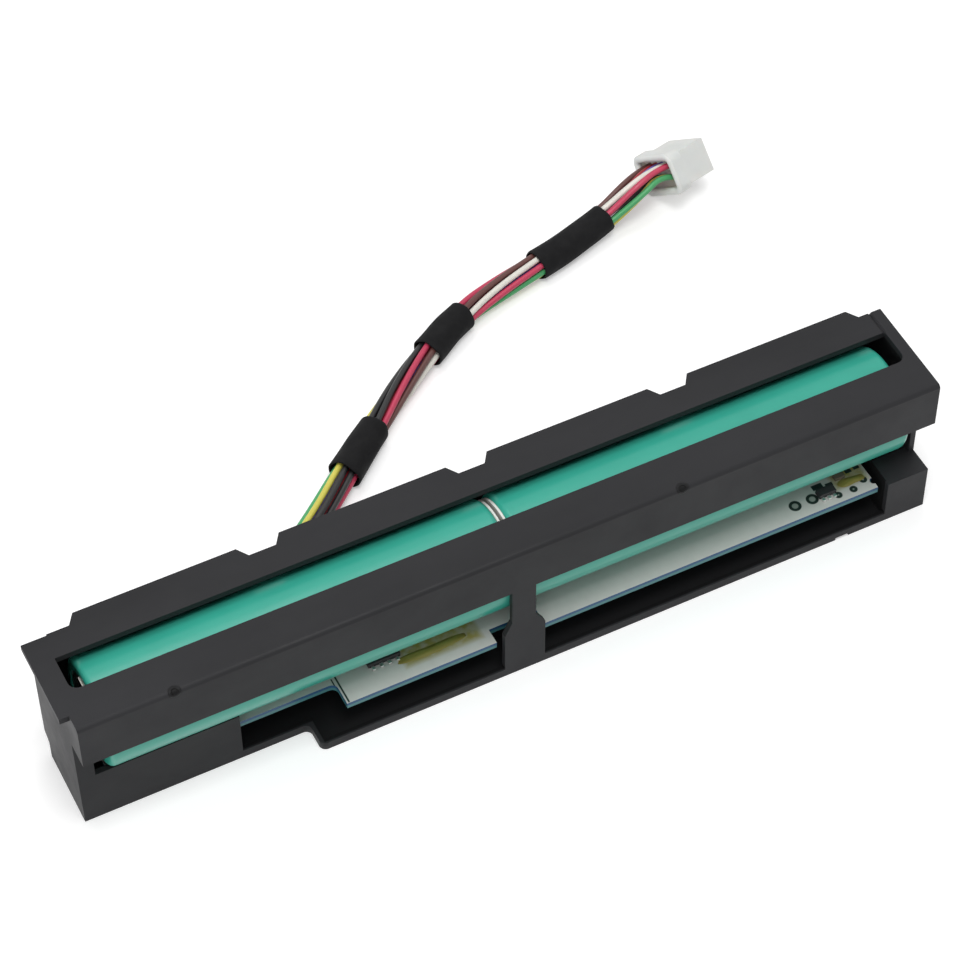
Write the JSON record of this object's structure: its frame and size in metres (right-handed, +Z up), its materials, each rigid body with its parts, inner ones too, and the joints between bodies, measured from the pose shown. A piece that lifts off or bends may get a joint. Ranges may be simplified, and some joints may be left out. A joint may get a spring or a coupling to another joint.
{
  "type": "raid battery module",
  "caption": "Long black moulded carrier with green-wrapped battery sticks under a slotted top plate, a circuit board below them and a wire harness with a white connector.",
  "frame": {"origin": "middle of the carrier's footprint, on the surface it stands on", "axes": "+X along the carrier towards the harness's connector, +Y to the back, +Z up"},
  "size_m": [0.2004, 0.1171, 0.039],
  "materials": {
    "black_plastic": "fine moulded texture",
    "green_film": "shrink film, satin",
    "cell_can": "nickel-plated steel",
    "white_fibre": "fibre board",
    "nickel": "nickel strip",
    "board": "solder mask on glass laminate",
    "chip_black": "epoxy",
    "solder": "tinned",
    "glue": "hot glue",
    "sleeve_black": "shrink tube",
    "connector_white": "nylon",
    "contact_metal": "plated brass",
    "wire_white": "wire insulation",
    "wire_brown": "wire insulation",
    "wire_crimson": "wire insulation",
    "wire_black": "wire insulation",
    "wire_violet": "wire insulation",
    "wire_red": "wire insulation",
    "wire_green": "wire insulation",
    "wire_yellow": "wire insulation"
  },
  "bodies": {
    "root": {"carrier_frame": "black_plastic", "left_shrink_film": "green_film", "right_shrink_film": "green_film", "cell_1": "cell_can", "cell_2": "cell_can", "cell_3": "cell_can", "cell_4": "cell_can", "left_inner_link": "nickel", "right_inner_link": "nickel", "joint_link": "nickel", "left_end_strip": "nickel", "right_end_strip": "nickel", "left_insulating_ring": "white_fibre", "middle_insulating_ring": "white_fibre", "right_insulating_ring": "white_fibre", "circuit_board": "board", "controller_chip": "chip_black", "controller_chip_leads": "solder", "regulator_chip": "chip_black", "regulator_chip_leads": "solder", "storage_capacitor": "chip_black", "left_glue_bead": "glue", "right_glue_bead": "glue", "harness_solder_block": "glue", "first_harness_sleeve": "sleeve_black", "middle_harness_sleeve": "sleeve_black", "last_harness_sleeve": "sleeve_black", "connector_housing": "connector_white", "connector_contacts": "contact_metal", "violet_wire": "wire_violet", "red_wire": "wire_red", "second_black_wire": "wire_black", "first_black_wire": "wire_black", "yellow_wire": "wire_yellow", "green_wire": "wire_green", "second_crimson_wire": "wire_crimson", "white_wire": "wire_white", "brown_wire": "wire_brown", "first_crimson_wire": "wire_crimson"}
  },
  "joints": []
}
